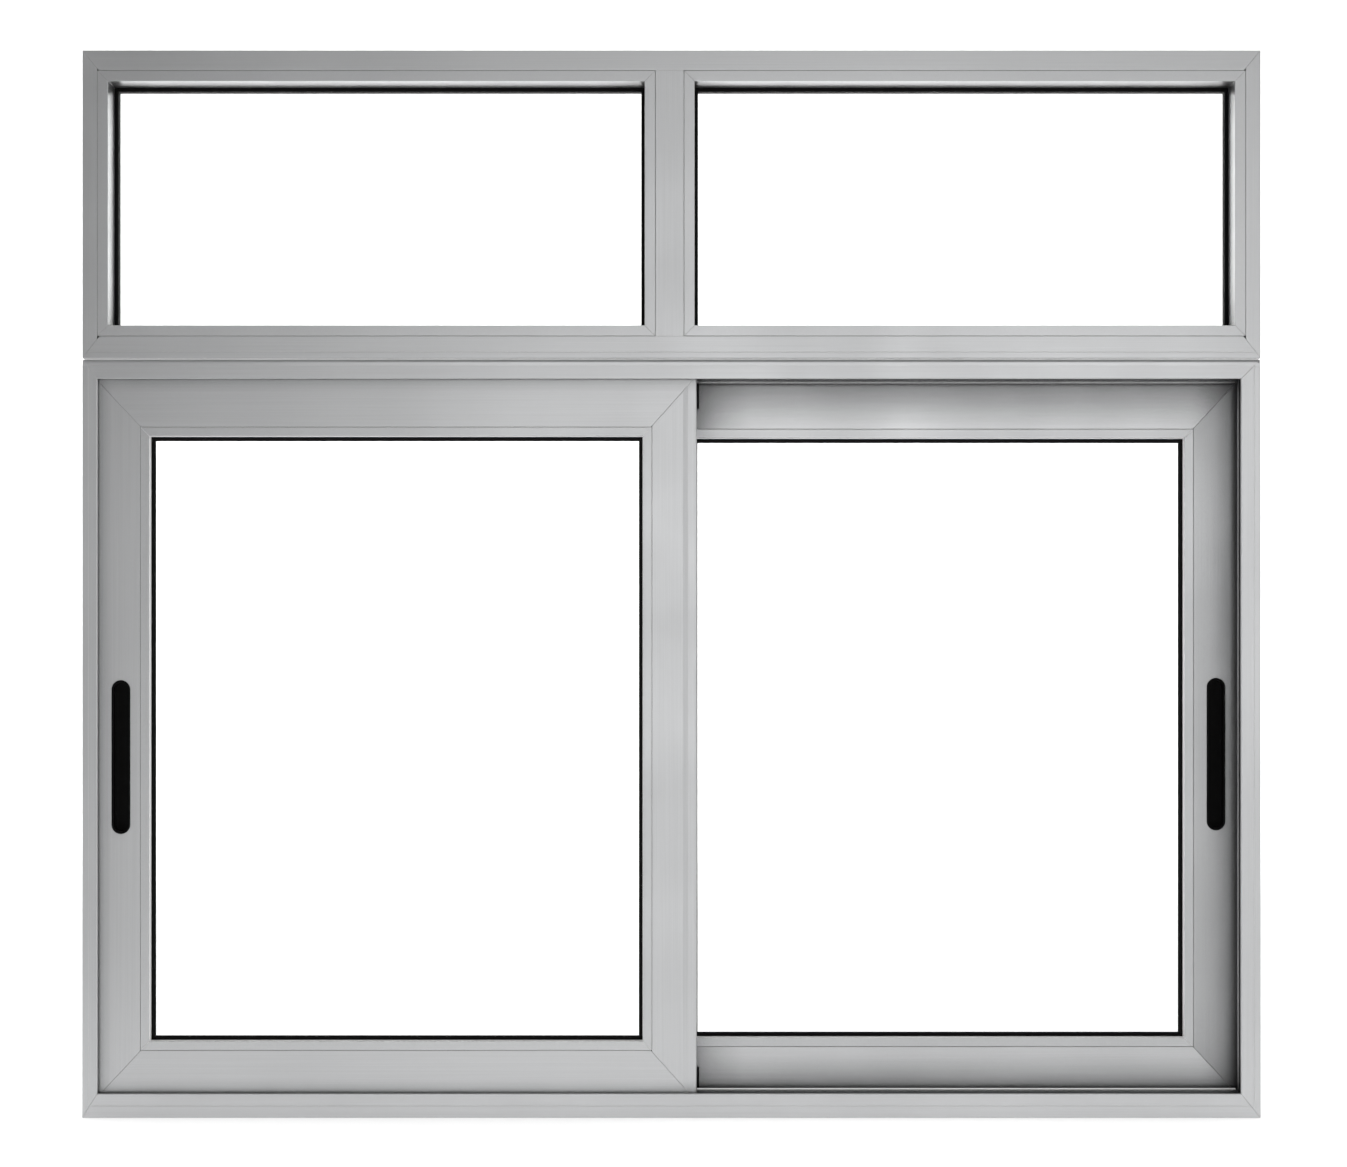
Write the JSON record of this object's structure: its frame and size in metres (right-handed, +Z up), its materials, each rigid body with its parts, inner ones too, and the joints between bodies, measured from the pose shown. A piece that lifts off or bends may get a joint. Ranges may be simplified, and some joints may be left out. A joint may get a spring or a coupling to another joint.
{
  "type": "horizontal sliding window",
  "caption": "Aluminium window: a fixed glazed light with a mullion over a tracked frame where glazed sashes slide sideways past each other on rollers, with black flush pulls.",
  "frame": {"origin": "middle of the sill's flat underside, half way between the jambs and half way through the frame's depth, on the plane that the wall carries", "axes": "+X to the right across the window seen from the side of the pulls, +Y through the window to its far side, +Z up"},
  "size_m": [1.2, 0.08, 1.0872],
  "materials": {
    "frame_aluminium": "satin anodised",
    "sash_aluminium": "satin anodised",
    "bead_aluminium": "satin anodised",
    "joint_aluminium": "plain, set back from the faces",
    "clear_glass": "clear float glass",
    "gasket_rubber": "matt",
    "black_plastic": "matt",
    "guide_plastic": "matt",
    "pile": "brush pile"
  },
  "bodies": {
    "frame": {"sill_track": "frame_aluminium", "head_track": "frame_aluminium", "left_jamb": "frame_aluminium", "right_jamb": "frame_aluminium", "coupling_bar": "joint_aluminium", "light_sill": "frame_aluminium", "light_head": "frame_aluminium", "light_left_jamb": "frame_aluminium", "light_right_jamb": "frame_aluminium", "mullion": "frame_aluminium", "left_light_beads": "bead_aluminium", "right_light_beads": "bead_aluminium", "left_light_glass": "clear_glass", "right_light_glass": "clear_glass", "left_light_gaskets": "gasket_rubber", "right_light_gaskets": "gasket_rubber", "frame_pile_seals": "pile", "dust_block": "black_plastic", "head_dust_block": "black_plastic"},
    "left_sash": {"left_sash_top_rail": "sash_aluminium", "left_sash_bottom_rail": "sash_aluminium", "left_sash_lock_stile": "sash_aluminium", "left_sash_meeting_stile": "sash_aluminium", "left_sash_beads": "bead_aluminium", "left_sash_glass": "clear_glass", "left_sash_gaskets": "gasket_rubber", "left_sash_handle": "black_plastic", "left_sash_interlock": "black_plastic", "left_sash_roller_carriages": "guide_plastic", "left_sash_roller_wheels": "guide_plastic", "left_sash_top_guides": "guide_plastic"},
    "right_sash": {"right_sash_top_rail": "sash_aluminium", "right_sash_bottom_rail": "sash_aluminium", "right_sash_lock_stile": "sash_aluminium", "right_sash_meeting_stile": "sash_aluminium", "right_sash_beads": "bead_aluminium", "right_sash_glass": "clear_glass", "right_sash_gaskets": "gasket_rubber", "right_sash_handle": "black_plastic", "right_sash_interlock": "black_plastic", "right_sash_roller_carriages": "guide_plastic", "right_sash_roller_wheels": "guide_plastic", "right_sash_top_guides": "guide_plastic"}
  },
  "joints": [
    {"name": "left_sash_slide", "type": "slide", "parent": "frame", "child": "left_sash", "axis": [1, 0, 0], "range_m": [0, 0.535]},
    {"name": "right_sash_slide", "type": "slide", "parent": "frame", "child": "right_sash", "axis": [-1, 0, 0], "range_m": [0, 0.535]}
  ]
}
